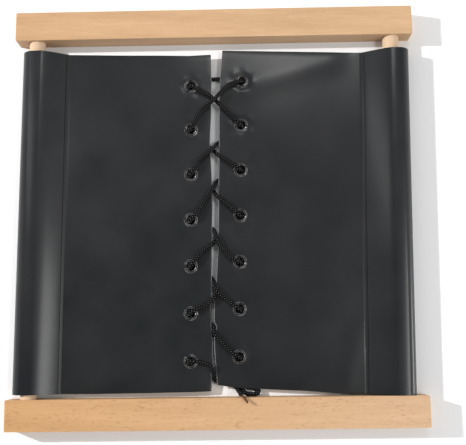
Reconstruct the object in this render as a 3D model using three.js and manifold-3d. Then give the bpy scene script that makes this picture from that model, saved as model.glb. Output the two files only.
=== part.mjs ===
// A lacing frame: two beech bars joined by two dowels, with two leatherette flaps
// that are folded round the dowels and laced together over the middle.
// Millimetres. X runs along the bars, Y from the bottom bar to the top bar, Z up.
// The frame lies on its back: z = 0 is the back face of the bars, and the origin
// is under the middle of the frame.

import * as THREE from 'three';
import Module from 'manifold-3d';
import { mergeVertices } from 'three/addons/utils/BufferGeometryUtils.js';

const wasm = await Module();
wasm.setup();

// Wooden frame
const frame_width = 300;
const frame_height = 310;
const bar_height = 22;
const bar_depth = 15;
const bar_edge_radius = 1.2;
const dowel_diameter = 12;
const dowel_inset = 15.5;
const socket_depth = 12;
const socket_clearance = 0.15;
const dowel_sides = 32;

// Leatherette flaps
const sheet_thickness = 1;
const sheet_drop = 2.5;
const flap_end_room = 12.4;
const sleeve_width = 34.2;
const sleeve_clearance = 0.3;
const sleeve_play = 2.9;
const seam_allowance = 3.2;
const sleeve_steps = 10;

// Eyelets
const eyelet_count = 7;
const row_end_margin = 23.9;
const eyelet_bore = 5.4;
const eyelet_wall = 0.4;
const eyelet_flange = 10.5;
const eyelet_crown = 0.8;
const eyelet_lip = 0.4;
const eyelet_sides = 14;
// The flange from its rim to the bore: share of its width, share of its crown
const flange_shares = [[0, 0], [0.1, 0.65], [0.4, 1], [0.75, 1], [1, 0.5]];
const hole_clearance = 0.3;
const washer_diameter = 10;
const washer_thickness = 0.4;
const seat_clearance = 0.2;

// Lace and its two tips
const lace_diameter = 3;
const lace_sides = 8;
const tip_diameter = 2.2;
const tip_wall_share = 0.7;
const tip_clearance = 0.3;

// One overrun for everything that cuts right through
const overrun = 2;

// How each flap was sewn and how it hangs on its dowel.
// gap: the edge at the lacing to the middle of the frame. slack: dowel to the outer fold, inside the sleeve.
// margin: edge to the eyelets. shift: middle of the sleeve along the dowel.
// rows_up: middle eyelet above the middle of the flap. lean: clockwise, in degrees.
// corner: how far the bottom corner at the lacing is drawn up.
const flaps = {
  left: {
    side: -1, gap: 3.3, slack: 4, margin: 14.8, shift: -2.9, rows_up: -1.3, lean: 0.35, corner: 1.5,
  },
  right: {
    side: 1, gap: 2.6, slack: 3.2, margin: 16, shift: -5, rows_up: 0.4, lean: 1.25, corner: 4.6,
  },
};
// The drawn-up bottom edge, from the corner outwards: share of the flap's reach, share of the corner's rise
const hem_shares = [[0, 1], [0.04, 0.78], [0.09, 0.56], [0.18, 0.42], [0.3, 0.32], [0.46, 0.2], [0.62, 0]];

const dowel_x = frame_width / 2 - dowel_inset;
const dowel_radius = dowel_diameter / 2;
const dowel_axis_height = bar_depth / 2;
const bar_y = (frame_height - bar_height) / 2;
const opening_height = frame_height - 2 * bar_height;
const flap_length = opening_height - flap_end_room;
const eyelet_pitch = (flap_length - 2 * row_end_margin) / (eyelet_count - 1);
const sheet_middle_height = dowel_axis_height - sheet_drop;
const sheet_top = sheet_middle_height + sheet_thickness / 2;
const sheet_bottom = sheet_middle_height - sheet_thickness / 2;
const eyelet_radius = eyelet_bore / 2;
const barrel_radius = eyelet_radius + eyelet_wall;
const barrel_hole_radius = barrel_radius + hole_clearance;
const washer_bottom = sheet_bottom - seat_clearance - washer_thickness;

// The lace from tip to tip. The points are chosen by hand: under the flaps it lies on the table,
// at each eyelet it turns up or down through the bore, and it rises or dips where it crosses the gap.
const lace_route = [
  // free end behind the right flap, and the narrow loop that shows below its hem
  [51.5, -108, 2.1], [43.5, -106, 2.1], [35.5, -105.6, 2.1], [28.5, -108, 2.1], [23.6, -113, 2.1],
  [20.8, -119, 2.1], [20.2, -123.6, 2.1], [21.8, -126.6, 2.1], [25, -127.3, 2.1], [28.1, -127.6, 2.2],
  [29.5, -128.2, 2.5], [30, -129.5, 2.9], [29.4, -130.8, 3.3], [27.8, -131.35, 3.6], [25, -131.4, 3.8],
  [21.4, -131.1, 3.5], [19.2, -129.1, 2.6],
  [17.6, -126, 2.1], [16.4, -121.5, 2.1], [14.8, -116, 2], [14.2, -111, 1.9],
  // right eyelet 7, over the right flap, down through the gap
  [15.1, -106.7, 1.8], [16.8, -104.5, 4.1], [16.8, -105.4, 6.3], [14.9, -104.2, 8.4],
  [12.5, -102.9, 8.4], [6.9, -97.7, 8], [2.6, -93.2, 8], [-0.8, -88.7, 7.3], [-2.7, -82.5, 2.8],
  // left eyelet 6
  [-16.6, -74.6, 1.8], [-19, -73.2, 4.1], [-19, -73.8, 6.3], [-16.7, -72, 8.5],
  [-13, -69.6, 8.2], [-7.9, -67.9, 7.9], [-2.5, -63.9, 7.8], [-0.3, -60.5, 6.9],
  [-0.3, -57.6, 5], [-0.1, -54.9, 3.1], [1.9, -52.2, 2.4], [5, -48.9, 2.1],
  // right eyelet 5
  [16.4, -38, 1.8], [18.3, -36, 4.1], [18.3, -36.8, 6.3], [15.7, -36, 8.4], [13, -34.8, 8.4],
  [9.2, -31.5, 8], [5.6, -27.7, 8], [2.7, -23.4, 8.1], [0.4, -18, 7.8], [-1.9, -11.5, 2.8],
  // left eyelet 4
  [-16.1, -5.7, 1.8], [-18.7, -4.7, 4.1], [-18.4, -5.4, 6.3], [-16.2, -3.5, 8.5],
  [-10.4, 5.6, 8], [-1.6, 18.5, 7.3], [1.4, 24.5, 2.8],
  // right eyelet 3
  [17.4, 31.3, 1.8], [20, 32.4, 4.1], [19.9, 31.8, 6.3], [17.7, 33.4, 8.5],
  [10, 38.8, 8], [2, 44.2, 7.3], [-1.3, 48.5, 2.8],
  // left eyelet 2, then the upper strand of the first cross
  [-16.1, 62.2, 1.8], [-18.1, 64.1, 4.1], [-18, 63.2, 6.3], [-16.6, 65.6, 8.5],
  [-9.5, 78, 8.8], [0.9, 86.6, 10.3], [10.6, 97, 9],
  // right eyelet 1, behind the flaps to left eyelet 1
  [18.9, 100.3, 8.5], [21.4, 101.1, 6.3], [21.5, 100.6, 4.1], [18.8, 101.4, 1.8],
  [11, 103.8, 2.1], [1.5, 104.3, 2.1], [-8.5, 103, 2.1],
  [-15.6, 99.1, 1.8], [-18, 97.7, 4.1], [-18, 98.3, 6.3], [-15.6, 96.8, 8.5],
  // lower strand of the first cross, right eyelet 2
  [-10, 93.3, 7.9], [-3, 89.3, 7.45], [0.9, 86.2, 6.8], [4.9, 82, 7.45], [12, 74.8, 7.9],
  [18.6, 68.1, 8.5], [20.5, 66.1, 6.3], [20.6, 66.8, 4.1], [18.3, 65.2, 1.8],
  [2.2, 53.8, 2.8], [-1.2, 48.8, 7.3], [-10, 41.3, 8],
  // left eyelet 3
  [-16.7, 31.2, 8.5], [-18.2, 28.9, 6.3], [-18.4, 29.7, 4.1], [-16.1, 28.2, 1.8],
  [-1.8, 17.8, 2.8], [1.5, 12.6, 7.3], [4.8, 9.8, 7.9], [9.6, 5.9, 8],
  // right eyelet 4
  [14.4, 1.4, 8.3], [16.8, -0.8, 8.4], [19, -2.6, 6.3], [19, -1.7, 4.1], [17, -3.6, 1.8],
  [1.3, -18, 2.8], [-1.9, -23, 7.3], [-11, -29.3, 8],
  // left eyelet 5
  [-17, -37.4, 8.5], [-18.7, -39.7, 6.3], [-18.8, -38.9, 4.1], [-16.4, -40.2, 1.8],
  [-3.2, -47.8, 2.3], [-1.7, -50.3, 3.6], [-1.2, -52.6, 6.3], [-0.3, -55.4, 8], [1.4, -58.2, 8.9],
  [4.6, -61.4, 8.3], [8.8, -64.6, 8],
  // right eyelet 6, behind both flaps to left eyelet 7
  [13, -67.9, 8.3], [15.3, -69.6, 8.4], [17.5, -71.1, 6.3], [17.5, -70.3, 4.1], [15.6, -72.3, 1.8],
  [-0.8, -89.3, 2.1], [-17.2, -106.2, 1.8], [-19.1, -108.2, 4.1], [-19.3, -107.8, 6.3], [-16.5, -107.8, 8.5],
  // over the left flap, down the gap, out below the right flap and up to the bottom bar's edge
  [-9.5, -108.6, 7.9], [-2.8, -112.8, 7.5], [-2, -117, 5], [-1.6, -121, 2.7], [2.4, -122.9, 2.2],
  [7.5, -123.2, 2.1], [11.4, -124.6, 2.2], [14, -126.9, 2.4], [15.9, -129.4, 3.9],
  [16.7, -130.6, 7.2], [16.9, -130.8, 11.2], [17.4, -130.6, 13.9], [18.1, -131.1, 15.1],
];
// Each tip goes on from the lace's end to its own far end.
const hidden_tip_start = [51.9, -108.1, 2.1];
const hidden_tip_end = [61.8, -110.4, 2.1];
const leaning_tip_start = [18.3, -131.3, 15.3];
const leaning_tip_end = [22, -136.3, 18.7];

const beech = new THREE.MeshStandardMaterial({ color: 0xe0b681, roughness: 0.55, metalness: 0 });
const leatherette = new THREE.MeshStandardMaterial({ color: 0x26282b, roughness: 0.42, metalness: 0 });
const gunmetal = new THREE.MeshStandardMaterial({ color: 0x3a3b3e, roughness: 0.3, metalness: 0.9 });
const black_cord = new THREE.MeshStandardMaterial({ color: 0x101012, roughness: 0.85, metalness: 0 });
const bronze_tip = new THREE.MeshStandardMaterial({ color: 0x5a3820, roughness: 0.4, metalness: 0.3 });

function solid(geometry) {
  const bare = geometry.index ? geometry.toNonIndexed() : geometry.clone();
  bare.deleteAttribute('normal');
  bare.deleteAttribute('uv');
  const merged = mergeVertices(bare);
  return new wasm.Manifold(new wasm.Mesh({
    numProp: 3,
    vertProperties: new Float32Array(merged.attributes.position.array),
    triVerts: new Uint32Array(merged.index.array),
  }));
}

function geometry_of(manifold) {
  const mesh = manifold.getMesh();
  const geometry = new THREE.BufferGeometry();
  geometry.setAttribute('position', new THREE.BufferAttribute(mesh.vertProperties, 3));
  geometry.setIndex(new THREE.BufferAttribute(mesh.triVerts, 1));
  geometry.computeVertexNormals();
  return geometry;
}

function named(name, geometry, material) {
  const mesh = new THREE.Mesh(geometry, material);
  mesh.name = name;
  return mesh;
}

// A cylinder whose axis runs along Y, centred on the origin
function dowel_rod(radius, length) {
  return new THREE.CylinderGeometry(radius, radius, length, dowel_sides);
}

function bar(name, y, socket_side) {
  const inset_height = bar_height - 2 * bar_edge_radius;
  const inset_depth = bar_depth - 2 * bar_edge_radius;
  const section = new THREE.Shape();
  section.moveTo(-inset_depth / 2, -inset_height / 2);
  section.lineTo(inset_depth / 2, -inset_height / 2);
  section.lineTo(inset_depth / 2, inset_height / 2);
  section.lineTo(-inset_depth / 2, inset_height / 2);
  section.closePath();
  const core_length = frame_width - 2 * bar_edge_radius;
  const blank = new THREE.ExtrudeGeometry(section, {
    depth: core_length,
    bevelThickness: bar_edge_radius,
    bevelSize: bar_edge_radius,
    bevelSegments: 3,
    curveSegments: 1,
  });
  blank.translate(0, 0, -core_length / 2);
  blank.rotateY(Math.PI / 2);
  let wood = solid(blank);
  const socket_length = socket_depth + overrun;
  for (const side of [-1, 1]) {
    const socket = dowel_rod(dowel_radius + socket_clearance, socket_length);
    const mouth = socket_side * bar_height / 2;
    const middle = mouth - socket_side * (socket_depth - socket_length / 2);
    socket.translate(side * dowel_x, middle, 0);
    wood = wood.subtract(solid(socket));
  }
  const mesh = named(name, geometry_of(wood), beech);
  mesh.position.set(0, y, bar_depth / 2);
  return mesh;
}

function dowel(name, side) {
  const length = opening_height + 2 * (socket_depth - socket_clearance);
  const mesh = named(name, dowel_rod(dowel_radius, length), beech);
  mesh.position.set(side * dowel_x, 0, dowel_axis_height);
  return mesh;
}

// From 0 to 1 with level ends
function ease(share) {
  return share * share * (3 - 2 * share);
}

// Dowel axis to the edge at the lacing
function reach_of(flap) {
  return dowel_x - flap.gap;
}

// Dowel axis to the outside of the outer fold
function fold_of(flap) {
  return dowel_radius + flap.slack + sheet_thickness;
}

// The middle line of the folded sheet, from the seam over the dowel, round the outer fold and back.
// x runs from the dowel's axis towards the lacing, y is the height.
function fold_line(flap) {
  const wrap = dowel_radius + sleeve_clearance + sheet_thickness / 2;
  const seam = sleeve_width - fold_of(flap);
  const round = fold_of(flap) - sheet_thickness / 2 - sleeve_play;
  const top = dowel_axis_height + wrap;
  const bottom = dowel_axis_height - wrap;
  const lower_end = sheet_middle_height - sheet_thickness;
  const line = [];
  for (let i = 0; i <= sleeve_steps; i += 1) {
    const share = i / sleeve_steps;
    line.push(new THREE.Vector2(seam + share * (sleeve_play - seam),
      sheet_middle_height + (top - sheet_middle_height) * ease(share)));
  }
  for (let i = 0; i <= sleeve_steps; i += 1) {
    const angle = Math.PI * i / sleeve_steps;
    line.push(new THREE.Vector2(-sleeve_play - round * Math.sin(angle),
      dowel_axis_height + wrap * Math.cos(angle)));
  }
  for (let i = 0; i <= sleeve_steps; i += 1) {
    const share = i / sleeve_steps;
    line.push(new THREE.Vector2(sleeve_play + share * (seam - sleeve_play),
      bottom + (lower_end - bottom) * ease(share)));
  }
  return line;
}

// The line moved sideways by a distance, to its left where the distance is positive
function offset_line(line, distance) {
  return line.map((point, i) => {
    const before = line[Math.max(i - 1, 0)];
    const after = line[Math.min(i + 1, line.length - 1)];
    const along = (i === 0 || i === line.length - 1)
      ? new THREE.Vector2(-Math.sign(line.length / 2 - i), 0)
      : after.clone().sub(before).normalize();
    return new THREE.Vector2(point.x - along.y * distance, point.y + along.x * distance);
  });
}

// A section drawn for the left side, turned over for the right side with its points in the same sense
function facing(points, inward) {
  return inward > 0 ? points : points.map((point) => new THREE.Vector2(-point.x, point.y)).reverse();
}

// The flap seen from the front: the hem is drawn up towards the corner at the lacing
function outline_prism(flap) {
  const inward = -flap.side;
  const half = flap_length / 2;
  const outside = fold_of(flap) + overrun;
  const reach = reach_of(flap);
  const shape = new THREE.Shape();
  shape.moveTo(inward * reach, half);
  shape.lineTo(-inward * outside, half);
  shape.lineTo(-inward * outside, -half);
  for (const [reach_share, rise_share] of [...hem_shares].reverse()) {
    shape.lineTo(inward * reach * (1 - reach_share), -half + flap.corner * rise_share);
  }
  shape.closePath();
  const height = bar_depth + 2 * overrun;
  const prism = new THREE.ExtrudeGeometry(shape, { depth: height, bevelEnabled: false });
  prism.translate(0, 0, -overrun);
  return prism;
}

function eyelet_places(flap) {
  const x = -flap.side * (reach_of(flap) - flap.margin);
  const places = [];
  for (let i = 0; i < eyelet_count; i += 1) {
    const rows_from_middle = (eyelet_count - 1) / 2 - i;
    places.push(new THREE.Vector2(x, flap.rows_up + rows_from_middle * eyelet_pitch));
  }
  return places;
}

// A section drawn across the dowel, drawn out along it
function drawn_out(section, length) {
  const body = new THREE.ExtrudeGeometry(new THREE.Shape(section), { depth: length, bevelEnabled: false });
  body.rotateX(Math.PI / 2);
  body.translate(0, length / 2, 0);
  return solid(body);
}

function flap_sheet(name, flap) {
  const inward = -flap.side;
  const line = fold_line(flap);
  const outer = offset_line(line, -sheet_thickness / 2);
  const inner = offset_line(line, sheet_thickness / 2);
  const seam = line[0].x;
  const edge = reach_of(flap) + overrun;
  const contour = [
    new THREE.Vector2(edge, sheet_top),
    ...outer,
    new THREE.Vector2(seam + seam_allowance, sheet_bottom - sheet_thickness),
    new THREE.Vector2(seam + seam_allowance, sheet_bottom),
    new THREE.Vector2(edge, sheet_bottom),
  ];
  // Both ends of the inner line meet in the crotch of the seam.
  const sleeve_bore = inner.slice(0, -1);
  const length = flap_length + 2 * overrun;
  let sheet = drawn_out(facing(contour, inward), length)
    .subtract(drawn_out(facing(sleeve_bore, inward), length + overrun))
    .intersect(solid(outline_prism(flap)));
  for (const place of eyelet_places(flap)) {
    const punch = new THREE.CylinderGeometry(barrel_hole_radius, barrel_hole_radius, bar_depth, eyelet_sides);
    punch.rotateX(Math.PI / 2);
    punch.translate(place.x, place.y, sheet_middle_height);
    sheet = sheet.subtract(solid(punch));
  }
  return named(name, geometry_of(sheet), leatherette);
}

// A lathe turns about Y, so its profile is written as [radius, height] and then stood along Z.
function turned(profile) {
  const geometry = new THREE.LatheGeometry(profile.map(([r, h]) => new THREE.Vector2(r, h)), eyelet_sides);
  geometry.rotateX(Math.PI / 2);
  return geometry;
}

function eyelet() {
  const seat = sheet_top + seat_clearance;
  const rim = eyelet_flange / 2;
  const flange_width = rim - eyelet_radius;
  const lip_top = washer_bottom - seat_clearance / 2;
  const lip_bottom = lip_top - eyelet_wall / 2;
  return turned([
    [eyelet_radius, lip_bottom],
    [barrel_radius + eyelet_lip, lip_bottom],
    [barrel_radius + eyelet_lip, lip_top],
    [barrel_radius, lip_top],
    [barrel_radius, seat],
    ...flange_shares.map(([width_share, crown_share]) => [
      rim - flange_width * width_share, seat + eyelet_crown * crown_share,
    ]),
    [eyelet_radius, lip_bottom],
  ]);
}

function washer() {
  const bore = barrel_radius + seat_clearance;
  const rim = washer_diameter / 2;
  return turned([
    [bore, washer_bottom],
    [rim, washer_bottom],
    [rim, washer_bottom + washer_thickness],
    [bore, washer_bottom + washer_thickness],
    [bore, washer_bottom],
  ]);
}

function laced_side(word, flap) {
  const side = new THREE.Group();
  side.position.set(flap.side * dowel_x, flap.shift, 0);
  side.rotation.z = -THREE.MathUtils.degToRad(flap.lean);
  side.add(flap_sheet(`${word}_flap`, flap));
  eyelet_places(flap).forEach((place, i) => {
    for (const [kind, geometry] of [['eyelet', eyelet()], ['washer', washer()]]) {
      const mesh = named(`${word}_${kind}_${i + 1}`, geometry, gunmetal);
      mesh.position.set(place.x, place.y, 0);
      side.add(mesh);
    }
  });
  return side;
}

// A curve through hand-chosen points whose even steps fall on the points themselves
class RouteCurve extends THREE.CatmullRomCurve3 {
  getUtoTmapping(u) {
    return u;
  }
}

function polygon(radius, sides) {
  const shape = new THREE.Shape();
  for (let i = 0; i < sides; i += 1) {
    const angle = 2 * Math.PI * i / sides;
    const x = radius * Math.cos(angle);
    const y = radius * Math.sin(angle);
    if (i === 0) shape.moveTo(x, y);
    else shape.lineTo(x, y);
  }
  shape.closePath();
  return shape;
}

function shoelace() {
  const curve = new RouteCurve(lace_route.map((point) => new THREE.Vector3(...point)), false, 'centripetal');
  const tube = new THREE.ExtrudeGeometry(polygon(lace_diameter / 2, lace_sides), {
    steps: lace_route.length - 1,
    extrudePath: curve,
    bevelEnabled: false,
  });
  return named('shoelace', tube, black_cord);
}

// A crimped tube, slightly narrower at its far end
function lace_tip(name, start, end) {
  const from = new THREE.Vector3(...start);
  const to = new THREE.Vector3(...end);
  const run = to.clone().sub(from);
  const radius = tip_diameter / 2;
  const tip = new THREE.CylinderGeometry(radius * tip_wall_share, radius, run.length() - tip_clearance, lace_sides);
  const mesh = named(name, tip, bronze_tip);
  mesh.position.copy(from.clone().add(to).multiplyScalar(0.5));
  mesh.quaternion.setFromUnitVectors(new THREE.Vector3(0, 1, 0), run.normalize());
  return mesh;
}

const lacing_frame = new THREE.Group();
lacing_frame.add(bar('top_bar', bar_y, -1));
lacing_frame.add(bar('bottom_bar', -bar_y, 1));
lacing_frame.add(dowel('left_dowel', -1));
lacing_frame.add(dowel('right_dowel', 1));
lacing_frame.add(laced_side('left', flaps.left));
lacing_frame.add(laced_side('right', flaps.right));
lacing_frame.add(shoelace());
lacing_frame.add(lace_tip('hidden_lace_tip', hidden_tip_start, hidden_tip_end));
lacing_frame.add(lace_tip('leaning_lace_tip', leaning_tip_start, leaning_tip_end));

export default lacing_frame;
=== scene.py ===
import math

import bpy
import numpy as np
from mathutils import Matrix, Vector


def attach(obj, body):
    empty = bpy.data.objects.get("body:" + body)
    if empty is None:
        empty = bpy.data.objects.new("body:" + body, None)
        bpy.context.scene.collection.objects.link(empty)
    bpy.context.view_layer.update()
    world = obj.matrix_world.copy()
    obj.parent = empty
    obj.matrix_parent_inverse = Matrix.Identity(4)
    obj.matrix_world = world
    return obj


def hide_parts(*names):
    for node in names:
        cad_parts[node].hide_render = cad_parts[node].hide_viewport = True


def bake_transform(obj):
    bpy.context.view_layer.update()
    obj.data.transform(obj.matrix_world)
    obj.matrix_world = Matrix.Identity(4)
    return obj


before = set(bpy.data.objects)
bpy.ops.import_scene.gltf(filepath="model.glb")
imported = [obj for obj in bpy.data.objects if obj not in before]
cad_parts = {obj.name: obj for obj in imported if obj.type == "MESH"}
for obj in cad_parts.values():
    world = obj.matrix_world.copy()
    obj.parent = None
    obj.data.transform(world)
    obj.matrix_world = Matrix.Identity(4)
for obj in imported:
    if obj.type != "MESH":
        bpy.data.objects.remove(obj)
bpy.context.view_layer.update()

# Lengths are in millimetres, and MM turns them into metres. Only the lights and the materials' bumps are
# given in metres, and the materials' noises by the metre.
MM = 0.001

# Camera, fitted to the corners of the frame in a 466 x 445 picture: its place, and its turn in degrees
CAMERA_PLACE = (21.6, -91.0, 567.3)
CAMERA_TURN = (8.478, 0.975, -0.729)
CAMERA_LENS = 59.41
CAMERA_SENSOR = 36
CLIP_START = 10
CLIP_END = 20000

# Wooden frame
FRAME_WIDTH = 300
BAR_DEPTH = 15
DOWEL_X = 134.5
DOWEL_RADIUS = 6
DOWEL_AXIS = BAR_DEPTH / 2

# Flaps: the same sizes as the solids', with a little more room over the dowels
SHEET = 1
SHEET_HEIGHT = 5
SHEET_TOP = SHEET_HEIGHT + SHEET / 2
SHEET_BOTTOM = SHEET_HEIGHT - SHEET / 2
FLAP_LENGTH = 253.6
SLEEVE_WIDTH = 34.2
SLEEVE_CLEARANCE = 0.3
SLEEVE_LIFT = 0.16
SLEEVE_PLAY = 2.9
SEAM_ALLOWANCE = 3.2
LAYER_GAP = 0.06
EYELETS = 7
EYELET_PITCH = 34.3
HOLE_RADIUS = 3.35

# For each flap: side of the frame, gap between its cut edge and the middle, slack in its sleeve, margin from
# the cut edge to the eyelets, shift along the dowel, how far up its eyelets lie, lean in degrees, shift and
# dip of the crease at the seam, rise of the cut edge, and waves as (from, to, width, rise). Then the cut edge
# as (place along the flap, how far it comes out), the place above which its rounded rim is painted pale as a
# painted highlight, and the two hems as (share of the way from the cut edge to the dowel, rise).
FLAPS = {
    "left": dict(
        side=-1, gap=3.3, slack=4.0, margin=14.8, shift=-2.9, rows_up=-1.3, lean=0.35,
        crease=0, crease_dip=0.06, curl=-0.45,
        waves=[((124, -18), (124, -62), 5, 0.2), ((60, -30), (100, 10), 14, 0.3)],
        edge=[(-127, 0), (-119, 0.5), (-113, 1.1), (-107, 1.7), (-99, 1.75), (-92, 1.5), (-86, 0.8),
              (-79, 0.3), (-66, 0.1), (-57, 0.6), (-40, 0.6), (-20, 1.0), (10, 1.3), (21, 1.4), (35, 0.6),
              (48, 0), (56, -0.6), (70, 0), (79, 0.4), (106, 0.75), (127, 0.3)],
        pale_from=-58,
        top_hem_shares=[(0, -0.4), (0.13, -1.2), (0.4, -0.4), (0.7, 0.5), (0.83, 0.8), (1, 1.2), (1.08, 0.6)],
        bottom_hem_shares=[(0, 1.5), (0.04, 1.2), (0.09, 0.95), (0.2, 0.8), (0.3, 0.6), (0.5, 0.25),
                           (0.62, 0), (1, 0)],
    ),
    "right": dict(
        side=1, gap=2.6, slack=3.2, margin=16.0, shift=-5.0, rows_up=0.4, lean=1.25,
        crease=1.2, crease_dip=0.07, curl=0.35,
        waves=[((132, 94), (50, 120), 10, 0.42), ((127, -12), (121, -22), 4.5, 0.3),
               ((38, -118), (30, -84), 7, 0.35)],
        edge=[(-127, -0.3), (-121, 0.05), (-115, 0.75), (-108, 1.4), (-101, 2.0), (-94, 2.3), (-88, 2.5),
              (-83, 2.8), (-72, 2.75), (-64, 2.45), (-53, 1.3), (-35, 0.9), (-20, 0), (-1, 0.3), (21, 0.5),
              (48, 0.4), (79, 0.8), (106, 0.2), (127, -1.2)],
        pale_from=-127,
        top_hem_shares=[(0, 1.3), (0.24, 0.8), (0.5, 0.3), (0.83, -0.2), (1, 0.9), (1.07, 0.5)],
        bottom_hem_shares=[(0, 4.4), (0.05, 3.5), (0.12, 2.4), (0.33, 1.4), (0.5, 0.7), (0.62, -0.4),
                           (0.72, -1.3), (1, -0.8)],
    ),
}

# Slow swells of each flap: rise, radians per millimetre across and along the flap, and radians to start with,
# which count the other way on the left flap
SWELLS = [(0.35, 0.055, 0.021, 1), (0.25, 0.03, -0.045, 2)]

# A wave fades out past its ends over this many of its widths
WAVE_FADE = 1.8

# Cut edge: how it curls, with (place along the flap, share of the curl), how flat it lies near the lace, how
# it is eased into the sheet, how the lace pushes it back, and how its upper rim is rounded off
CURL_WIDTH = 3.4
CURL_SHARES = [(-127, 1), (40, 0.6), (127, 0.2)]
CURL_ROOM = 2.4
CURL_EASE = 4
EDGE_EASE = 12
PUSH_REACH = 8
PUSH_WIDTH = 2.1
LACE_ROOM = 0.1
BEVEL = 0.28
BEVEL_WIDTH = 0.35

# Hems: they drop a little, but not at the sleeve
HEM_DROP = 0.2
HEM_WIDTH = 4.5
HEM_EASE = 12

# Round each eyelet the sheet is flat under the flange and puckered outside it: a pucker is (rise, folds, way
# round). The grid's points next to a hole are drawn onto a circle that is a margin larger.
HOLE_MARGIN = 0.1
FLANGE_ROOM = 4.6
FLANGE_EASE = 4
PUCKER_RADIUS = 7.5
PUCKER_WIDTH = 3.0
PUCKERS = [(0.08, 5, 1), (0.06, 3, -1)]

# Grid of the sheet: rows along the dowel, and columns, closer at the cut edge, the eyelets and the seam
ROWS = 211
EDGE_SPAN = 4.4
EDGE_STEP = 0.5
EYELET_SPAN = 30
EYELET_STEP = 0.8
PLAIN_STEP = 2.4
SEAM_SPAN = 2.5
SEAM_PLACES = (1.7, 1.2, 0.8, 0.55, 0.35, 0.17)
RISE_STEPS = 24
RISE_CROWDING = 1.6
ROUND_STEPS = 20
RETURN_STEPS = 12
ALLOWANCE_STEPS = 3

# Sleeve: how it swings up to the dowel's top, and the share of its underside that lies level before it rises
RISE_POWER = 1.3
LEVEL_SHARE = 0.2

# Seam of each sleeve
SEAM_INSET = 2.2
SEAM_DIP = 0.06
SEAM_DIP_WIDTH = 1
CREASE_WIDTH = 0.6
STITCH_PITCH = 3
STITCH_LENGTH = 2.6
STITCH_POINTS = 9
THREAD_RADIUS = 0.26
THREAD_SIDES = 8
THREAD_RISE_SHARE = 1.9
THREAD_SINK_SHARE = 1.1

# Which of its three materials a face of a flap takes
LEATHER, HIGHLIGHT_BEVEL, CORE = range(3)

# Eyelets and washers: the clenched lip as (out from the barrel, over the sheet's underside), the flange and
# the throat as (in from the rim, over the sheet's top), and the washer as (in from its rim, over the sheet's
# underside)
BARREL = 3.1
FLANGE_RADIUS = 5.25
WASHER_RADIUS = 5.0
EYELET_SIDES = 48
WASHER_SIDES = 40
LIP = [(-0.4, -0.85), (0.35, -0.9), (0.4, -0.75), (0, -0.6)]
FLANGE = [
    (2.15, -0.05), (0.1, -0.05), (0, 0), (0.04, 0.1), (0.3, 0.2), (0.55, 0.48), (0.72, 0.56), (0.88, 0.48),
    (1.05, 0.34), (1.2, 0.4), (1.4, 0.7), (1.6, 0.92), (1.8, 1), (2.02, 0.92), (2.2, 0.7), (2.36, 0.3),
    (2.48, -0.3), (2.55, -1.1),
]
WASHER = [(1.45, -0.58), (0.15, -0.58), (0, -0.45), (0.1, -0.28), (1.65, -0.2)]
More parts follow.
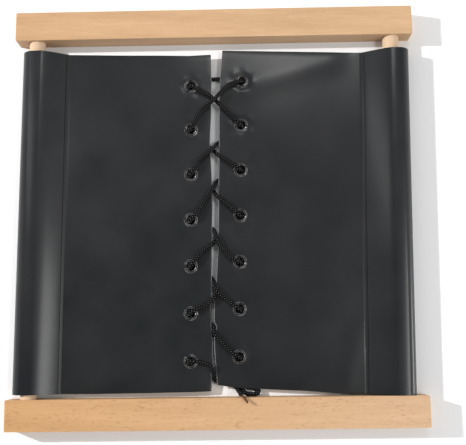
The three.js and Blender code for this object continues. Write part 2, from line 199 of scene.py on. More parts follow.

# Lace
LACE_DIAMETER = 3
LACE_SIDES = 24
LACE_STEP = 0.3
NEARLY_UPRIGHT = 0.1
BRAID_STRANDS = 3
BRAID_PITCH = 2.0
BRAID_RELIEF = 0.13
LACE_ROUTE = [
    # free end behind the right flap, and the narrow loop that shows below its hem
    (51.5, -108, 2.1), (43.5, -106, 2.1), (35.5, -105.6, 2.1), (28.5, -108, 2.1), (23.6, -113, 2.1),
    (20.8, -119, 2.1), (20.2, -123.6, 2.1), (21.8, -126.6, 2.1), (25, -127.3, 2.1), (28.1, -127.6, 2.2),
    (29.5, -128.2, 2.5), (30, -129.5, 2.9), (29.4, -130.8, 3.3), (27.8, -131.35, 3.6), (25, -131.4, 3.8),
    (21.4, -131.1, 3.5), (19.2, -129.1, 2.6),
    (17.6, -126, 2.1), (16.4, -121.5, 2.1), (14.8, -116, 2), (14.2, -111, 1.9),
    # right eyelet 7, over the right flap, down through the gap
    (15.1, -106.7, 1.8), (16.8, -104.5, 4.1), (16.8, -105.4, 6.3), (14.9, -104.2, 8.4),
    (12.5, -102.9, 8.4), (6.9, -97.7, 8), (2.6, -93.2, 8), (-0.8, -88.7, 7.3), (-2.7, -82.5, 2.8),
    # left eyelet 6
    (-16.6, -74.6, 1.8), (-19, -73.2, 4.1), (-19, -73.8, 6.3), (-16.7, -72, 8.5),
    (-13, -69.6, 8.2), (-7.9, -67.9, 7.9), (-2.5, -63.9, 7.8), (-0.3, -60.5, 6.9),
    (-0.3, -57.6, 5), (-0.1, -54.9, 3.1), (1.9, -52.2, 2.4), (5, -48.9, 2.1),
    # right eyelet 5
    (16.4, -38, 1.8), (18.3, -36, 4.1), (18.3, -36.8, 6.3), (15.7, -36, 8.4), (13, -34.8, 8.4),
    (9.2, -31.5, 8), (5.6, -27.7, 8), (2.7, -23.4, 8.1), (0.4, -18, 7.8), (-1.9, -11.5, 2.8),
    # left eyelet 4
    (-16.1, -5.7, 1.8), (-18.7, -4.7, 4.1), (-18.4, -5.4, 6.3), (-16.2, -3.5, 8.5),
    (-10.4, 5.6, 8), (-1.6, 18.5, 7.3), (1.4, 24.5, 2.8),
    # right eyelet 3
    (17.4, 31.3, 1.8), (20, 32.4, 4.1), (19.9, 31.8, 6.3), (17.7, 33.4, 8.5),
    (10, 38.8, 8), (2, 44.2, 7.3), (-1.3, 48.5, 2.8),
    # left eyelet 2, then the upper strand of the first cross
    (-16.1, 62.2, 1.8), (-18.1, 64.1, 4.1), (-18, 63.2, 6.3), (-16.6, 65.6, 8.5),
    (-9.5, 78, 8.8), (0.9, 86.6, 10.3), (10.6, 97, 9),
    # right eyelet 1, behind the flaps to left eyelet 1
    (18.9, 100.3, 8.5), (21.4, 101.1, 6.3), (21.5, 100.6, 4.1), (18.8, 101.4, 1.8),
    (11, 103.8, 2.1), (1.5, 104.3, 2.1), (-8.5, 103, 2.1),
    (-15.6, 99.1, 1.8), (-18, 97.7, 4.1), (-18, 98.3, 6.3), (-15.6, 96.8, 8.5),
    # lower strand of the first cross, right eyelet 2
    (-10, 93.3, 7.9), (-3, 89.3, 7.45), (0.9, 86.2, 6.8), (4.9, 82, 7.45), (12, 74.8, 7.9),
    (18.6, 68.1, 8.5), (20.5, 66.1, 6.3), (20.6, 66.8, 4.1), (18.3, 65.2, 1.8),
    (2.2, 53.8, 2.8), (-1.2, 48.8, 7.3), (-10, 41.3, 8),
    # left eyelet 3
    (-16.7, 31.2, 8.5), (-18.2, 28.9, 6.3), (-18.4, 29.7, 4.1), (-16.1, 28.2, 1.8),
    (-1.8, 17.8, 2.8), (1.5, 12.6, 7.3), (4.8, 9.8, 7.9), (9.6, 5.9, 8),
    # right eyelet 4
    (14.4, 1.4, 8.3), (16.8, -0.8, 8.4), (19, -2.6, 6.3), (19, -1.7, 4.1), (17, -3.6, 1.8),
    (1.3, -18, 2.8), (-1.9, -23, 7.3), (-11, -29.3, 8),
    # left eyelet 5
    (-17, -37.4, 8.5), (-18.7, -39.7, 6.3), (-18.8, -38.9, 4.1), (-16.4, -40.2, 1.8),
    (-3.2, -47.8, 2.3), (-1.7, -50.3, 3.6), (-1.2, -52.6, 6.3), (-0.3, -55.4, 8), (1.4, -58.2, 8.9),
    (4.6, -61.4, 8.3), (8.8, -64.6, 8),
    # right eyelet 6, behind both flaps to left eyelet 7
    (13, -67.9, 8.3), (15.3, -69.6, 8.4), (17.5, -71.1, 6.3), (17.5, -70.3, 4.1), (15.6, -72.3, 1.8),
    (-0.8, -89.3, 2.1), (-17.2, -106.2, 1.8), (-19.1, -108.2, 4.1), (-19.3, -107.8, 6.3),
    (-16.5, -107.8, 8.5),
    # over the left flap, down the gap, out below the right flap and up to the bottom bar's edge
    (-9.5, -108.6, 7.9), (-2.8, -112.8, 7.5), (-2, -117, 5), (-1.6, -121, 2.7), (2.4, -122.9, 2.2),
    (7.5, -123.2, 2.1), (11.4, -124.6, 2.2), (14, -126.9, 2.4), (15.9, -129.4, 3.9),
    (16.7, -130.6, 7.2), (16.9, -130.8, 11.2), (17.4, -130.6, 13.9), (18.1, -131.1, 15.1),
]
# Each tip lies from one place to another. Its shape is (share of the length, share of the radius).
TIPS = {
    "hidden_lace_tip": ((51.9, -108.1, 2.1), (61.8, -110.4, 2.1)),
    "leaning_lace_tip": ((18.3, -131.3, 15.3), (22, -136.3, 18.7)),
}
TIP_RADIUS = 0.95
TIP_SHARES = [(0, 0.8), (0.01, 1), (0.2, 1), (0.22, 0.94), (0.24, 1), (0.9, 0.86), (0.97, 0.78), (1, 0.5)]

# Wood: how fine its noises are along the grain and across it, the share of that which the broad tone has, and
# the shares of the deep tone's red, green and blue that a ray has
FIBRE_GRAIN = (60, 700)
RAY_GRAIN = (330, 1500)
PATCH_GRAIN = (25, 60)
BROAD_SHARE = 0.1
RAY_TONE_SHARES = (0.6, 0.5, 0.42)

# Leatherette: its deep tone and its pale tone
LEATHER_TONES = (0.0098, 0.0119, 0.0133), (0.0178, 0.0187, 0.0199)

# Floor
FLOOR_HALF = 3000
FLOOR_TONE = 0.9
FLOOR_ROUGHNESS = 0.9

# Lights, in metres: a hard key light, and softboxes as (direction, width and height, radiance)
KEY_PLACE = (-1.64, 0.45, 1.03)
KEY_STRENGTH = 3.35
KEY_RADIUS = 0.03
SOFTBOX_DISTANCE = 1.6
SOFTBOXES = {
    "slope_light": ((0.53, -0.13, 0.84), (0.66, 0.34), 10),
    "low_light": ((0.98, -0.19, 0.11), (0.6, 0.16), 24),
    "top_light": ((0.09, 0.46, 0.9), (0.3, 0.14), 17),
    "glow_light": ((-0.47, 0.27, 0.84), (0.25, 0.5), 3.5),
    "spark_light": ((-0.6, 0.35, 0.72), (0.05, 0.05), 38),
}

# The room as (height, brightness), from level with the table to straight above it, and the share of that
# brightness on each side
SKY_STRENGTH = 2.2
SKY = [(0.0, 0.6), (0.2, 0.8), (0.5, 0.85), (0.7, 0.24), (0.85, 0.12), (1.0, 0.12)]
SKY_BLUE_SHARE = 1.01
SKY_LEFT_SHARE = 0.47
SKY_RIGHT_SHARE = 0.59
SKY_FRONT_SHARE = 1.05
SKY_BACK_SHARE = 0.8


def ease(share):
    """A soft start and a soft end between 0 and 1."""
    return share * share * (3 - 2 * share)


def along_table(table, value):
    """The second number of a table's rows, at a value of the first."""
    places, found = zip(*table)
    return np.interp(value, places, found)


def in_metres(point):
    return tuple(float(c) * MM for c in point)


def mesh_object(name, points, faces, material, sharp):
    """A smooth mesh from points in millimetres. Edges that turn by more than sharp, in degrees, stay hard."""
    mesh = bpy.data.meshes.new(name)
    mesh.from_pydata([in_metres(p) for p in points], [], faces)
    mesh.validate()
    mesh.update()
    mesh.materials.append(material)
    obj = bpy.data.objects.new(name, mesh)
    bpy.context.collection.objects.link(obj)
    mesh.shade_smooth()
    mesh.set_sharp_from_angle(angle=math.radians(sharp))
    return obj


# Materials

class Nodes:
    """A short way to build a node material."""

    def __init__(self, name):
        self.material = bpy.data.materials.new(name)
        self.material.use_nodes = True
        self.tree = self.material.node_tree
        self.shader = self.tree.nodes["Principled BSDF"]

    def add(self, kind, inputs=None, **settings):
        node = self.tree.nodes.new(kind)
        for key, value in settings.items():
            setattr(node, key, value)
        for key, value in (inputs or {}).items():
            self.set(node.inputs[key], value)
        return node

    def set(self, socket, value):
        if isinstance(value, bpy.types.NodeSocket):
            self.tree.links.new(value, socket)
        else:
            socket.default_value = value

    def put(self, **values):
        """Values or links for the shader's own sockets."""
        for key, value in values.items():
            self.set(self.shader.inputs[key.replace("_", " ")], value)

    def coordinates(self, scale=(1, 1, 1), output="Object"):
        source = self.add("ShaderNodeTexCoord")
        mapping = self.add("ShaderNodeMapping", {"Vector": source.outputs[output], "Scale": scale})
        return mapping.outputs["Vector"]

    def axis(self, vector, name):
        return self.add("ShaderNodeSeparateXYZ", {"Vector": vector}).outputs[name]

    def noise(self, vector, scale=1.0, detail=2, roughness=0.5):
        node = self.add("ShaderNodeTexNoise", {"Vector": vector, "Scale": scale, "Detail": detail,
                                               "Roughness": roughness})
        return node.outputs["Fac"]

    def ramp(self, value, stops):
        """A tone or colour for a value: stops are (place, grey or colour)."""
        node = self.add("ShaderNodeValToRGB", {"Fac": value})
        elements = node.color_ramp.elements
        while len(elements) < len(stops):
            elements.new(0.5)
        for element, (place, colour) in zip(elements, stops):
            element.position = place
            element.color = (*colour, 1) if isinstance(colour, tuple) else (colour, colour, colour, 1)
        return node.outputs["Color"]

    def range(self, value, low, high):
        node = self.add("ShaderNodeMapRange", {"Value": value, "To Min": low, "To Max": high})
        return node.outputs["Result"]

    def mix(self, factor, a, b, blend="MIX"):
        node = self.add("ShaderNodeMix", data_type="RGBA", blend_type=blend)
        self.set(node.inputs["Factor"], factor)
        self.set(node.inputs["A"], a)
        self.set(node.inputs["B"], b)
        return node.outputs["Result"]

    def math(self, operation, a, b=0.0):
        node = self.add("ShaderNodeMath", operation=operation)
        self.set(node.inputs[0], a)
        self.set(node.inputs[1], b)
        return node.outputs["Value"]

    def bump(self, height, strength, distance):
        node = self.add("ShaderNodeBump", {"Height": height, "Strength": strength, "Distance": distance})
        self.put(Normal=node.outputs["Normal"])


def beech(name, axis, pale, deep, flecks, left=(1, 1, 1), right=(1, 1, 1)):
    """Beech with its grain along an axis, its small dark rays, and a tint from its left end to its right end
    that is painted shade and painted light.
    """
    n = Nodes(name)

    def grained(grain):
        along, across = grain
        return (along, across, across) if axis == "X" else (across, along, across)

    broad = n.noise(n.coordinates(tuple(g * BROAD_SHARE for g in grained(FIBRE_GRAIN))))
    fibre = n.noise(n.coordinates(grained(FIBRE_GRAIN)), detail=4, roughness=0.6)
    tone = n.ramp(n.math("ADD", n.math("MULTIPLY", broad, 0.6), n.math("MULTIPLY", fibre, 0.4)),
                  [(0.32, deep), (0.66, pale)])
    ray_noise = n.noise(n.coordinates(grained(RAY_GRAIN)), detail=1, roughness=0.4)
    rays = n.ramp(ray_noise, [(0.63, 0.0), (0.71, 1.0)])
    patch_along, patch_across = PATCH_GRAIN
    patch_place = n.coordinates((patch_along, patch_across, patch_across))
    patches = n.ramp(n.noise(patch_place, detail=1), [(0.36, 0.3), (0.56, 1.0)])
    marks = n.math("MULTIPLY", n.math("MULTIPLY", rays, patches), flecks)
    # Painted shade and light: the tone is tinted from the left end's colour to the right end's.
    half = FRAME_WIDTH * MM / 2
    sideways = n.axis(n.coordinates(), "X")
    painted_end_shading = n.add("ShaderNodeMapRange", {"Value": sideways, "From Min": -half, "From Max": half})
    tone = n.mix(1.0, tone, n.ramp(painted_end_shading.outputs["Result"], [(0.0, left), (1.0, right)]), "MULTIPLY")
    ray_tone = tuple(d * share for d, share in zip(deep, RAY_TONE_SHARES))
    n.put(Base_Color=n.mix(marks, tone, (*ray_tone, 1)), Roughness=n.range(fibre, 0.42, 0.58))
    n.bump(fibre, strength=0.12, distance=0.0002)
    return n.material


def leatherette(name, shade):
    """Smooth dark leatherette with soft clouds, a fine grain and a thin coat. Its tones are scaled by shade,
    a painted shade.
    """
    n = Nodes(name)
    place = n.coordinates()
    cloud = n.noise(place, scale=28, detail=3, roughness=0.55)
    grain = n.noise(place, scale=1500)
    deep, pale = (tuple(shade * c for c in tone) for tone in LEATHER_TONES)
    n.put(Base_Color=n.ramp(cloud, [(0.34, deep), (0.66, pale)]), Roughness=n.range(cloud, 0.38, 0.45),
          Specular_IOR_Level=0.25, Coat_Weight=0.36, Coat_Roughness=0.2)
    n.bump(grain, strength=0.08, distance=0.0001)
    return n.material


def cut_edge(name, dark, light):
    """The dull edge of a cut sheet, between two greys."""
    n = Nodes(name)
    n.put(Base_Color=n.ramp(n.noise(n.coordinates(), scale=900), [(0.3, dark), (0.7, light)]), Roughness=0.7)
    return n.material


def gunmetal():
    n = Nodes("gunmetal")
    wear = n.noise(n.coordinates(), scale=600, detail=3, roughness=0.6)
    n.put(Base_Color=n.ramp(wear, [(0.36, (0.035, 0.035, 0.037)), (0.64, (0.24, 0.24, 0.247))]),
          Metallic=1.0, Roughness=n.range(wear, 0.16, 0.32))
    n.bump(wear, strength=0.08, distance=0.0001)
    return n.material


def glinting_braid(name, dark, light):
    """Round braided cord with its crowns painted lighter, as painted glints: its map runs round the cord in
    x, and along it in y, in millimetres.
    """
    n = Nodes(name)
    place = n.coordinates(output="UV")
    turns = n.math("MULTIPLY", n.axis(place, "X"), BRAID_STRANDS * 2 * math.pi)
    run = n.math("MULTIPLY", n.axis(place, "Y"), 2 * math.pi / BRAID_PITCH)
    relief = n.math("MULTIPLY", n.math("COSINE", turns), n.math("COSINE", run))
    # Painted glints: the colour is lighter where the braid's relief stands up.
    n.put(Base_Color=n.ramp(relief, [(0.3, dark), (0.75, light)]), Roughness=0.5, Specular_IOR_Level=0.08)
    n.bump(n.noise(n.coordinates(), scale=4000), strength=0.25, distance=0.0001)
    return n.material


def brown_film():
    n = Nodes("bronze_tip")
    wear = n.noise(n.coordinates(), scale=700)
    n.put(Base_Color=n.ramp(wear, [(0.3, (0.075, 0.026, 0.010)), (0.7, (0.13, 0.05, 0.022))]), Roughness=0.38)
    n.bump(wear, strength=0.1, distance=0.0001)
    return n.material


# The bars' tints are painted shade at their left ends and painted light, paler and cooler, at their right
# ends.
TOP_WOOD = beech("top_beech", "X", pale=(0.635, 0.402, 0.22), deep=(0.495, 0.297, 0.15), flecks=0.2,
                 left=(0.875, 0.855, 0.865), right=(1.03, 1.06, 1.11))
BOTTOM_WOOD = beech("bottom_beech", "X", pale=(0.645, 0.395, 0.205), deep=(0.525, 0.31, 0.148), flecks=0.62,
                    left=(0.875, 0.82, 0.74), right=(0.97, 1.03, 1.18))
DOWEL_WOOD = beech("dowel_beech", "Y", pale=(0.645, 0.465, 0.315), deep=(0.57, 0.395, 0.255), flecks=0.1)
# Both flaps are one leatherette: each copy's tone is scaled as painted shade, the right one darker than the
# left.
SHADED_LEATHERETTE = {"left": leatherette("left_shaded_leatherette", 0.93), "right": leatherette("right_shaded_leatherette", 0.8)}
# The cut edge's rounded upper rim is painted pale, as a painted highlight where light catches it.
HIGHLIGHT_EDGE = cut_edge("cut_edge", dark=0.1, light=0.22)
EDGE_CORE = cut_edge("edge_core", dark=0.01, light=0.03)
GUNMETAL = gunmetal()
# The braid's crowns are painted pale, as painted glints on the black cord and on the thread.
CORD = glinting_braid("black_cord", dark=(0.0008, 0.0008, 0.001), light=(0.068, 0.068, 0.07))
TIP_FILM = brown_film()
THREAD = glinting_braid("seam_thread", dark=(0.010, 0.010, 0.011), light=(0.018, 0.018, 0.019))


# Camera

camera_data = bpy.data.cameras.new("camera")
camera_data.sensor_width = CAMERA_SENSOR
camera_data.lens = CAMERA_LENS
camera_data.clip_start = CLIP_START * MM
camera_data.clip_end = CLIP_END * MM
camera = bpy.data.objects.new("camera", camera_data)
camera.location = in_metres(CAMERA_PLACE)
camera.rotation_euler = [math.radians(a) for a in CAMERA_TURN]
bpy.context.collection.objects.link(camera)
bpy.context.scene.camera = camera
bpy.context.scene.view_settings.view_transform = "Standard"


# Lace

def smooth_path(points, step):
    """Centripetal curve through the points, sampled about every step."""
    p = np.array(points, float)
    p = np.vstack([2 * p[0] - p[1], p, 2 * p[-1] - p[-2]])
    found = []
    for i in range(1, len(p) - 2):
        p0, p1, p2, p3 = p[i - 1:i + 3]
        t0 = 0.0
        t1 = t0 + np.linalg.norm(p1 - p0) ** 0.5
        t2 = t1 + np.linalg.norm(p2 - p1) ** 0.5
        t3 = t2 + np.linalg.norm(p3 - p2) ** 0.5
        count = max(2, int(round(np.linalg.norm(p2 - p1) / step)))
        for t in np.linspace(t1, t2, count, endpoint=False):
            a1 = (t1 - t) / (t1 - t0) * p0 + (t - t0) / (t1 - t0) * p1
            a2 = (t2 - t) / (t2 - t1) * p1 + (t - t1) / (t2 - t1) * p2
            a3 = (t3 - t) / (t3 - t2) * p2 + (t - t2) / (t3 - t2) * p3
            b1 = (t2 - t) / (t2 - t0) * a1 + (t - t0) / (t2 - t0) * a2
            b2 = (t3 - t) / (t3 - t1) * a2 + (t - t1) / (t3 - t1) * a3
            found.append((t2 - t) / (t2 - t1) * b1 + (t - t1) / (t2 - t1) * b2)
    found.append(p[-2])
    return np.array(found)


def tube_points(path, radii, sides, relief):
    """The places round a tube, ring by ring, and how far along the tube each ring is."""
    along = np.gradient(path, axis=0)
    along /= np.linalg.norm(along, axis=1)[:, None]
    up = np.cross(along[0], [0, 0, 1.0])
    if np.linalg.norm(up) < NEARLY_UPRIGHT:
        up = np.cross(along[0], [1.0, 0, 0])
    points, run = [], [0.0]
    for i, centre in enumerate(path):
        if i:
            run.append(run[-1] + float(np.linalg.norm(centre - path[i - 1])))
        up = up - along[i] * np.dot(up, along[i])
        up /= np.linalg.norm(up)
        across = np.cross(along[i], up)
        for j in range(sides):
            angle = 2 * math.pi * j / sides
            lift = relief * math.cos(BRAID_STRANDS * angle) * math.cos(2 * math.pi * run[-1] / BRAID_PITCH)
            points.append(centre + (radii[i] + lift) * (math.cos(angle) * up + math.sin(angle) * across))
    return points, run


def tube_parts(path, radii, sides, relief=0.0):
    """Points, faces and map of a closed tube along a path, and its length. The map runs round and along."""
    points, run = tube_points(path, radii, sides, relief)
    faces, maps = [], []
    for i in range(len(path) - 1):
        for j in range(sides):
            k = (j + 1) % sides
            faces.append((i * sides + j, i * sides + k, (i + 1) * sides + k, (i + 1) * sides + j))
            maps += [(j / sides, run[i]), ((j + 1) / sides, run[i])]
            maps += [((j + 1) / sides, run[i + 1]), (j / sides, run[i + 1])]
    last = (len(path) - 1) * sides
    faces.append(tuple(reversed(range(sides))))
    faces.append(tuple(range(last, last + sides)))
    maps += [(j / sides, 0.0) for j in reversed(range(sides))]
    maps += [(j / sides, run[-1]) for j in range(sides)]
    return points, faces, maps, run[-1]


def tubes(name, parts, material):
    """One object of closed tubes."""
    points, faces, maps = [], [], []
    for part_points, part_faces, part_maps, _ in parts:
        faces += [tuple(v + len(points) for v in face) for face in part_faces]
        points += part_points
        maps += part_maps
    obj = mesh_object(name, points, faces, material, sharp=60)
    layer = obj.data.uv_layers.new(name="map")
    layer.data.foreach_set("uv", np.array(maps, np.float32).ravel())
    return obj


def tip_film(node, start, end):
    """The brown film that is wound round an end of the lace."""
    start, end = np.array(start, float), np.array(end, float)
    path = np.array([start + (end - start) * share for share, _ in TIP_SHARES])
    radii = [TIP_RADIUS * share for _, share in TIP_SHARES]
    tip = tubes(node + "_film", [tube_parts(path, radii, LACE_SIDES)], TIP_FILM)
    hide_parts(node)
    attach(tip, "right_side")
    return tip


lace_path = smooth_path(LACE_ROUTE, LACE_STEP)
lace_path[:, 2] = np.maximum(lace_path[:, 2], LACE_DIAMETER / 2 + BRAID_RELIEF)
lace_parts = tube_parts(lace_path, [LACE_DIAMETER / 2] * len(lace_path), LACE_SIDES, BRAID_RELIEF)
lace = tubes("laced_cord", [lace_parts], CORD)
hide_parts("shoelace")
tips = [tip_film(node, start, end) for node, (start, end) in TIPS.items()]
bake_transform(lace)


# Flaps

class Flap:
    """A flap's shape in its own axes: x from the dowel towards the lacing, y along the dowel."""

    def __init__(self, word):
        self.word = word
        for key, value in FLAPS[word].items():
            setattr(self, key, value)
        self.reach = DOWEL_X - self.gap
        self.fold = DOWEL_RADIUS + self.slack + SHEET
        self.seam = SLEEVE_WIDTH - self.fold + self.crease
        self.half = FLAP_LENGTH / 2

    def eyelet_places(self):
        x = self.reach - self.margin
        middle = (EYELETS - 1) / 2
        return [(x, self.rows_up + (middle - i) * EYELET_PITCH) for i in range(EYELETS)]

    def world(self, x, y, z):
        """Places in the shared frame from places in the flap's axes."""
        a = math.radians(self.lean)
        wx = -self.side * x
        return (self.side * DOWEL_X + wx * np.cos(a) + y * np.sin(a),
                self.shift - wx * np.sin(a) + y * np.cos(a), z)

    def own(self, points):
        """Places in the flap's axes from places in the shared frame."""
        a = math.radians(self.lean)
        dx, dy = points[:, 0] - self.side * DOWEL_X, points[:, 1] - self.shift
        return -self.side * (dx * np.cos(a) - dy * np.sin(a)), dx * np.sin(a) + dy * np.cos(a)

    def edge_out(self, rows):
        """How far the cut edge comes out along it. The lace pushes it back where it goes down."""
        wanted = along_table(self.edge, rows)
        out = wanted.copy()
        x, y = self.own(lace_path)
        above = np.maximum(np.abs(lace_path[:, 2] - SHEET_HEIGHT) - SHEET / 2, 0)
        room = np.sqrt(np.maximum((LACE_DIAMETER / 2 + LACE_ROOM) ** 2 - above ** 2, 0))
        for i in np.flatnonzero((room > 0) & (x > self.reach - PUSH_REACH)):
            push = self.reach + np.interp(y[i], rows, wanted) - x[i] + room[i]
            out = np.minimum(out, wanted - max(push, 0) * np.exp(-((rows - y[i]) / PUSH_WIDTH) ** 2))
        return out

    def edge_rise(self, rows):
        """How far the cut edge stands up along it: not at all where a strand of the lace passes."""
        edge = np.stack(self.world(self.reach + self.edge_out(rows), rows, 0)[:2], -1)
        room = np.linalg.norm(edge[:, None] - lace_path[None, :, :2], axis=2).min(axis=1)
        free = ease(np.clip((room - CURL_ROOM) / CURL_EASE, 0, 1))
        return self.curl * along_table(CURL_SHARES, rows) * free

    def swells(self, x, y):
        """How far the slow swells lift the sheet. They end at the seam and at the cut edge."""
        near_edge = np.clip((x - self.seam) / (self.reach - self.seam), 0, 1)
        return sum(rise * np.sin(x * across + y * along + start * self.side) * near_edge * (1 - near_edge) * 4
                   for rise, across, along, start in SWELLS)

    def wave(self, x, y, start, end, width, rise):
        """How far one shallow wave lifts the sheet. Its ridge runs from start to end."""
        start, end = np.array(start, float), np.array(end, float)
        length = np.linalg.norm(end - start)
        run = (end - start) / length
        along = (x - start[0]) * run[0] + (y - start[1]) * run[1]
        across = (x - start[0]) * run[1] - (y - start[1]) * run[0]
        fade = WAVE_FADE * width
        inside = ease(np.clip(along / fade + 1, 0, 1)) * ease(np.clip((length - along) / fade + 1, 0, 1))
        return rise * inside * np.exp(-(across / width) ** 2)

    def height(self, x, y):
        """The middle of the sheet over its flat part."""
        lift = self.swells(x, y)
        free = np.ones(np.shape(lift))
        for ex, ey in self.eyelet_places():
            r = np.hypot(x - ex, y - ey)
            free = np.minimum(free, ease(np.clip((r - FLANGE_ROOM) / FLANGE_EASE, 0, 1)))
            angle = np.arctan2(y - ey, x - ex)
            ring = np.exp(-((r - PUCKER_RADIUS) / PUCKER_WIDTH) ** 2)
            lift = lift + ring * sum(rise * np.cos(folds * angle + way * ey) for rise, folds, way in PUCKERS)
        for wave in self.waves:
            lift = lift + self.wave(x, y, *wave)
        hem = np.clip((np.abs(y) - self.half + HEM_WIDTH) / HEM_WIDTH, 0, 1) ** 2
        drop = HEM_DROP * hem * ease(np.clip((x - self.seam) / HEM_EASE, 0, 1)) + self.dip(x)
        return SHEET_HEIGHT + lift * free - drop

    def dip(self, x):
        """How far the crease at the seam lies below the sheet."""
        return self.crease_dip * np.exp(-((x - self.seam) / CREASE_WIDTH) ** 2)


def flap_columns(flap):
    """Places across the sheet, each (kind, value), from the cut edge to the end of the seam allowance."""
    columns = [("flat", flap.reach)]
    x = flap.reach - BEVEL_WIDTH
    while x > flap.reach - EYELET_SPAN:
        columns.append(("flat", x))
        x -= EYELET_STEP if x < flap.reach - EDGE_SPAN else EDGE_STEP
    while x > flap.seam + SEAM_SPAN:
        columns.append(("flat", x))
        x -= PLAIN_STEP
    columns += [("flat", flap.seam + place) for place in SEAM_PLACES]
    columns += [("rise", (i / RISE_STEPS) ** RISE_CROWDING) for i in range(RISE_STEPS + 1)]
    columns += [("round", i / ROUND_STEPS) for i in range(1, ROUND_STEPS)]
    columns += [("return", i / RETURN_STEPS) for i in range(RETURN_STEPS + 1)]
    columns += [("allowance", i / ALLOWANCE_STEPS) for i in range(1, ALLOWANCE_STEPS + 1)]
    return columns


def flap_surface(flap, columns):
    """The middle surface of the sheet as grids of x, y and z in the flap's own axes."""
    rows = np.linspace(-flap.half, flap.half, ROWS)
    wrap = DOWEL_RADIUS + SLEEVE_CLEARANCE + SHEET / 2
    top = DOWEL_AXIS + wrap + SLEEVE_LIFT
    low = DOWEL_AXIS - wrap
    under = SHEET_HEIGHT - SHEET - LAYER_GAP
    bulge = flap.fold - SHEET / 2 - SLEEVE_PLAY
    X = np.zeros((len(columns), len(rows)))
    Z = np.zeros_like(X)
    out = flap.edge_out(rows)
    edge_rise = flap.edge_rise(rows)
    for i, (kind, value) in enumerate(columns):
        if kind == "flat":
            pull = np.clip((value - (flap.reach - EDGE_EASE)) / EDGE_EASE, 0, 1) ** 2
            X[i] = value + out * pull
            near = np.clip((X[i] - flap.reach - out) / CURL_WIDTH + 1, 0, 1)
            Z[i] = flap.height(X[i], rows) + edge_rise * near ** 2
        elif kind == "rise":
            X[i] = flap.seam + value * (SLEEVE_PLAY - flap.seam)
            Z[i] = SHEET_HEIGHT + (top - SHEET_HEIGHT) * (1 - (1 - value) ** RISE_POWER) - flap.dip(X[i])
            Z[i] -= SEAM_DIP * np.exp(-((X[i] - flap.seam + SEAM_INSET) / SEAM_DIP_WIDTH) ** 2)
        elif kind == "round":
            angle = math.pi * value
            X[i] = -SLEEVE_PLAY - bulge * math.sin(angle)
            Z[i] = DOWEL_AXIS + wrap * math.cos(angle) + SLEEVE_LIFT * (1 + math.cos(angle)) / 2
        elif kind == "return":
            X[i] = -SLEEVE_PLAY + value * (flap.seam + SLEEVE_PLAY)
            Z[i] = low + (under - low) * ease(max(0.0, (value - LEVEL_SHARE) / (1 - LEVEL_SHARE)))
        else:
            X[i] = flap.seam + value * SEAM_ALLOWANCE
            Z[i] = under
    # Each row moves a little along the dowel, most at the two hems
    Y = np.tile(rows, (len(columns), 1))
    share = 1 - X / flap.reach
    to_top = np.clip(Y / flap.half, 0, 1) ** 2
    to_bottom = np.clip(-Y / flap.half, 0, 1) ** 2
    Y = Y + along_table(flap.top_hem_shares, share) * to_top
    Y = Y + along_table(flap.bottom_hem_shares, share) * to_bottom
    return X, Y, Z


def punch(flap, columns, X, Y):
    """Opens the eyelets' holes. Gives back the grid, with the points next to a hole drawn onto a circle, and
    which of its quads are kept."""
    nc, nr = X.shape
    flat = np.array([kind == "flat" for kind, _ in columns])[:, None]
    keep = np.ones((nc - 1, nr - 1), bool)
    for ex, ey in flap.eyelet_places():
        r = np.hypot(X - ex, Y - ey)
        hole = (r < HOLE_RADIUS) & flat
        opened = hole[:-1, :-1] | hole[1:, :-1] | hole[:-1, 1:] | hole[1:, 1:]
        keep &= ~opened
        ring = np.zeros_like(hole)
        for a in (0, 1):
            for b in (0, 1):
                ring[a:nc - 1 + a, b:nr - 1 + b] |= opened
        ring &= ~hole & flat
        scale = np.where(ring, (HOLE_RADIUS + HOLE_MARGIN) / np.maximum(r, HOLE_RADIUS), 1.0)
        X = np.where(ring, ex + (X - ex) * scale, X)
        Y = np.where(ring, ey + (Y - ey) * scale, Y)
    return X, Y, keep


def grid_normals(middle):
    """The directions straight out of the sheet: upward on its flat part, and outward round the dowel."""
    normal = np.cross(np.gradient(middle, axis=0), np.gradient(middle, axis=1))
    normal /= np.linalg.norm(normal, axis=-1)[..., None]
    return -normal if normal[0, middle.shape[1] // 2, 2] < 0 else normal


def sheet_faces(flap, keep, Y):
    """The faces of both sides of the sheet and of all its edges, and the material of each."""
    nc, nr = Y.shape
    faces, kinds = [], []

    def at(i, j, layer):
        return (layer * nc + i) * nr + j

    for i in range(nc - 1):
        for j in range(nr - 1):
            if not keep[i, j]:
                continue
            quad = [(i, j), (i + 1, j), (i + 1, j + 1), (i, j + 1)]
            if flap.side > 0:
                quad.reverse()
            faces.append(tuple(at(a, b, 0) for a, b in quad))
            faces.append(tuple(at(a, b, 1) for a, b in reversed(quad)))
            kinds += [HIGHLIGHT_BEVEL if i == 0 and Y[0, j] > flap.pale_from else LEATHER, LEATHER]
            for k in range(4):
                (a, b), (c, d) = quad[k], quad[(k + 1) % 4]
                if a == c:
                    ni, nj = (i - 1 if a == i else i + 1), j
                else:
                    ni, nj = i, (j - 1 if b == j else j + 1)
                outside = not (0 <= ni < nc - 1 and 0 <= nj < nr - 1)
                if outside or not keep[ni, nj]:
                    faces.append((at(c, d, 0), at(a, b, 0), at(a, b, 1), at(c, d, 1)))
                    kinds.append(CORE)
    return faces, kinds


def seam_line(flap, chosen, X, grid):
    """The grid's values along the sleeve's seam, from the chosen columns."""
    place = flap.seam - SEAM_INSET
    return np.array([[np.interp(place, X[chosen, j], grid[chosen, j, k]) for k in range(3)]
                     for j in range(grid.shape[1])])


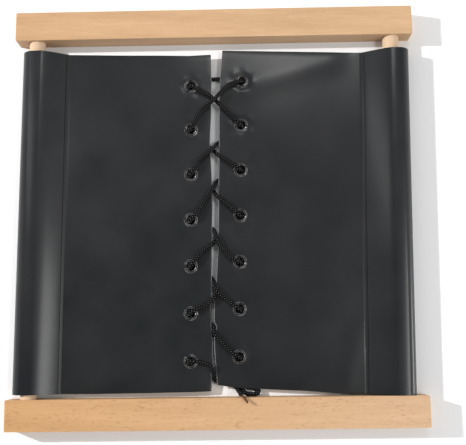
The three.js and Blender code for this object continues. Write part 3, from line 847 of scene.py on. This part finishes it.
def sew(flap, columns, X, surface, normal):
    """Stitches along the sleeve's seam, on the top and on the underside."""
    stitches = []
    for kind in ("rise", "return"):
        chosen = [i for i, column in enumerate(columns) if column[0] == kind]
        chosen.sort(key=lambda i: X[i, 0])
        points = seam_line(flap, chosen, X, surface)
        out = seam_line(flap, chosen, X, normal)
        run = np.concatenate([[0], np.cumsum(np.linalg.norm(np.diff(points, axis=0), axis=1))])
        start = (STITCH_PITCH - STITCH_LENGTH) / 2 + (0 if kind == "rise" else STITCH_PITCH / 2)
        while start + STITCH_LENGTH < run[-1]:
            path = []
            for share in np.linspace(0, 1, STITCH_POINTS):
                at = start + STITCH_LENGTH * share
                bow = math.sin(math.pi * share) ** 0.5
                lift = THREAD_RADIUS * (THREAD_RISE_SHARE * bow - THREAD_SINK_SHARE)
                path.append([np.interp(at, run, points[:, k]) + lift * np.interp(at, run, out[:, k])
                             for k in range(3)])
            stitches.append(tube_parts(np.array(path), [THREAD_RADIUS] * len(path), THREAD_SIDES))
            start += STITCH_PITCH
    thread = tubes(flap.word + "_seam_thread", stitches, THREAD)
    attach(thread, flap.word + "_side")


def build_flap(word):
    flap = Flap(word)
    columns = flap_columns(flap)
    X, Y, Z = flap_surface(flap, columns)
    X, Y, keep = punch(flap, columns, X, Y)
    middle = np.stack(flap.world(X, Y, Z), -1)
    normal = grid_normals(middle)
    upper_half = np.full((len(columns), 1, 1), SHEET / 2)
    upper_half[0] -= BEVEL
    upper = middle + normal * upper_half
    lower = middle - normal * SHEET / 2
    points = np.vstack([upper.reshape(-1, 3), lower.reshape(-1, 3)])
    faces, kinds = sheet_faces(flap, keep, Y)
    used = sorted({v for face in faces for v in face})
    renumber = {old: new for new, old in enumerate(used)}
    faces = [tuple(renumber[v] for v in face) for face in faces]
    cloth = mesh_object(word + "_cloth", points[used], faces, SHADED_LEATHERETTE[word], sharp=50)
    cloth.data.materials.append(HIGHLIGHT_EDGE)
    cloth.data.materials.append(EDGE_CORE)
    cloth.data.polygons.foreach_set("material_index", kinds)
    sew(flap, columns, X, upper, normal)
    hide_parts(word + "_flap")
    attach(cloth, word + "_side")
    return flap


flaps = {word: build_flap(word) for word in FLAPS}


# Eyelets

def lathe(name, profile, sides, material, place):
    """A ring whose profile is turned about an upright axis at place."""
    points, faces = [], []
    count = len(profile)
    for i in range(sides):
        angle = 2 * math.pi * i / sides
        for r, z in profile:
            points.append((place[0] + r * math.cos(angle), place[1] + r * math.sin(angle), z))
    for i in range(sides):
        k = (i + 1) % sides
        for j in range(count):
            m = (j + 1) % count
            faces.append((i * count + j, k * count + j, k * count + m, i * count + m))
    return mesh_object(name, points, faces, material, sharp=40)


EYELET_PROFILE = [(BARREL + out, SHEET_BOTTOM + z) for out, z in LIP]
EYELET_PROFILE += [(FLANGE_RADIUS - inward, SHEET_TOP + z) for inward, z in FLANGE]
WASHER_PROFILE = [(WASHER_RADIUS - inward, SHEET_BOTTOM + z) for inward, z in WASHER]
for word, flap in flaps.items():
    for i, (ex, ey) in enumerate(flap.eyelet_places(), 1):
        place = flap.world(ex, ey, 0)[:2]
        ring = lathe(f"{word}_ring_{i}", EYELET_PROFILE, EYELET_SIDES, GUNMETAL, place)
        back = lathe(f"{word}_back_ring_{i}", WASHER_PROFILE, WASHER_SIDES, GUNMETAL, place)
        for piece, node in ((ring, f"{word}_eyelet_{i}"), (back, f"{word}_washer_{i}")):
            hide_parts(node)
            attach(piece, word + "_side")


# Wood: the solids themselves, with their looks

for node, wood in (("top_bar", TOP_WOOD), ("bottom_bar", BOTTOM_WOOD), ("left_dowel", DOWEL_WOOD),
                   ("right_dowel", DOWEL_WOOD)):
    for material_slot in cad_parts[node].material_slots:
        material_slot.material = wood


# Floor

floor_mesh = bpy.data.meshes.new("floor")
floor_corners = [(-FLOOR_HALF, -FLOOR_HALF, 0), (FLOOR_HALF, -FLOOR_HALF, 0), (FLOOR_HALF, FLOOR_HALF, 0),
                 (-FLOOR_HALF, FLOOR_HALF, 0)]
floor_mesh.from_pydata([in_metres(corner) for corner in floor_corners], [], [(0, 1, 2, 3)])
floor = bpy.data.objects.new("floor", floor_mesh)
floor_paint = Nodes("floor_white")
floor_paint.put(Base_Color=(FLOOR_TONE, FLOOR_TONE, FLOOR_TONE, 1), Roughness=FLOOR_ROUGHNESS)
floor_mesh.materials.append(floor_paint.material)
bpy.context.collection.objects.link(floor)


# Lights

def lamp(name, place, strength, radius):
    """A round lamp whose strength is what falls on a face turned to it at the middle of the frame. No
    reflection shows it."""
    data = bpy.data.lights.new(name, "POINT")
    data.energy = strength * 4 * math.pi * Vector(place).length_squared
    data.shadow_soft_size = radius
    obj = bpy.data.objects.new(name, data)
    obj.location = place
    obj.visible_glossy = False
    bpy.context.collection.objects.link(obj)


def softbox(name, direction, size, radiance):
    """A softbox that faces the middle of the frame, as bright as its radiance says."""
    data = bpy.data.lights.new(name, "AREA")
    data.shape = "RECTANGLE"
    data.size, data.size_y = size
    data.energy = radiance * math.pi * size[0] * size[1]
    obj = bpy.data.objects.new(name, data)
    obj.location = Vector(direction).normalized() * SOFTBOX_DISTANCE
    obj.rotation_mode = "QUATERNION"
    obj.rotation_quaternion = (-Vector(direction)).to_track_quat("-Z", "Y")
    bpy.context.collection.objects.link(obj)


lamp("key", KEY_PLACE, KEY_STRENGTH, KEY_RADIUS)
for name, (direction, size, radiance) in SOFTBOXES.items():
    softbox(name, direction, size, radiance)

# Sky: a grey by height, times a share that goes from left to right, times one that goes from front to back
world = bpy.data.worlds.new("world")
bpy.context.scene.world = world
world.use_nodes = True
sky = world.node_tree
sky_place = sky.nodes.new("ShaderNodeTexCoord")
sky_split = sky.nodes.new("ShaderNodeSeparateXYZ")
sky_ramp = sky.nodes.new("ShaderNodeValToRGB")
sky.links.new(sky_place.outputs["Generated"], sky_split.inputs["Vector"])
sky.links.new(sky_split.outputs["Z"], sky_ramp.inputs["Fac"])
while len(sky_ramp.color_ramp.elements) < len(SKY):
    sky_ramp.color_ramp.elements.new(0.5)
for element, (place, level) in zip(sky_ramp.color_ramp.elements, SKY):
    element.position = place
    element.color = (level, level, level * SKY_BLUE_SHARE, 1)
sky_light = sky_ramp.outputs["Color"]
for axis, low, high in (("X", SKY_LEFT_SHARE, SKY_RIGHT_SHARE), ("Y", SKY_FRONT_SHARE, SKY_BACK_SHARE)):
    side = sky.nodes.new("ShaderNodeMapRange")
    side.inputs["From Min"].default_value = -1
    side.inputs["To Min"].default_value = low
    side.inputs["To Max"].default_value = high
    scale = sky.nodes.new("ShaderNodeVectorMath")
    scale.operation = "SCALE"
    sky.links.new(sky_split.outputs[axis], side.inputs["Value"])
    sky.links.new(sky_light, scale.inputs[0])
    sky.links.new(side.outputs["Result"], scale.inputs["Scale"])
    sky_light = scale.outputs["Vector"]
sky.nodes["Background"].inputs["Strength"].default_value = SKY_STRENGTH
sky.links.new(sky_light, sky.nodes["Background"].inputs["Color"])
